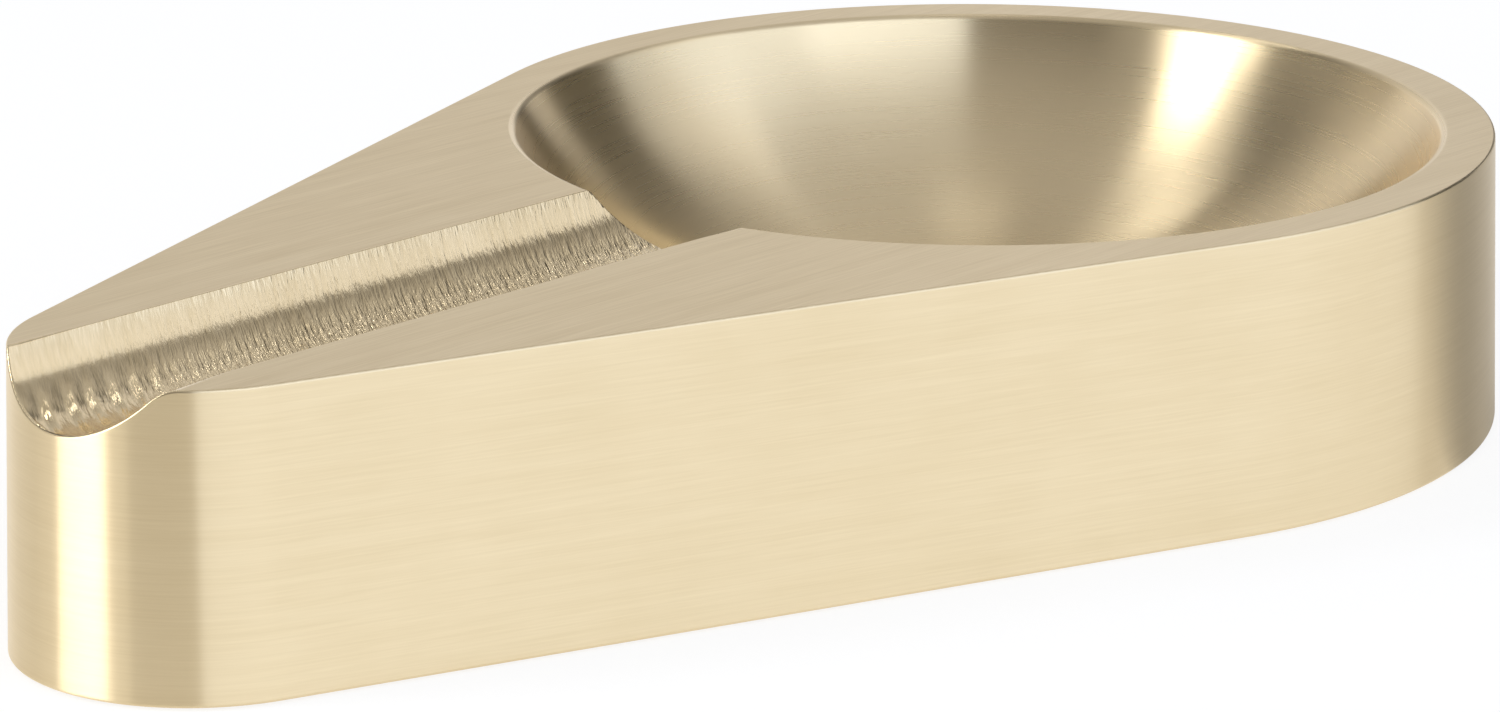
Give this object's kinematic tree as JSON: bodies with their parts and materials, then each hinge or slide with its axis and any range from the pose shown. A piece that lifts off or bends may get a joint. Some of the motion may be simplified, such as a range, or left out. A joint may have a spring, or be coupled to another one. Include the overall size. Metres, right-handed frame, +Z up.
{
  "type": "cigar ashtray",
  "caption": "Teardrop cigar ashtray of solid brass with a turned round bowl, a milled cigar rest out through the tip, and a cork pad beneath.",
  "frame": {"origin": "on the ground, under the middle of the length and width", "axes": "+X along the length from the tip to the round end, +Y across, +Z up out of the bowl"},
  "size_m": [0.1528, 0.0914, 0.0253],
  "materials": {
    "satin_brass": "brushed along the side wall and the top face, turned satin in the bowl, with tool marks across the cigar rest",
    "pressed_cork": "matte pressed cork granules",
    "clear_adhesive": "milky clear adhesive film"
  },
  "bodies": {
    "root": {"brass_body": "satin_brass", "cork_pad": "pressed_cork", "adhesive_film": "clear_adhesive"}
  },
  "joints": []
}
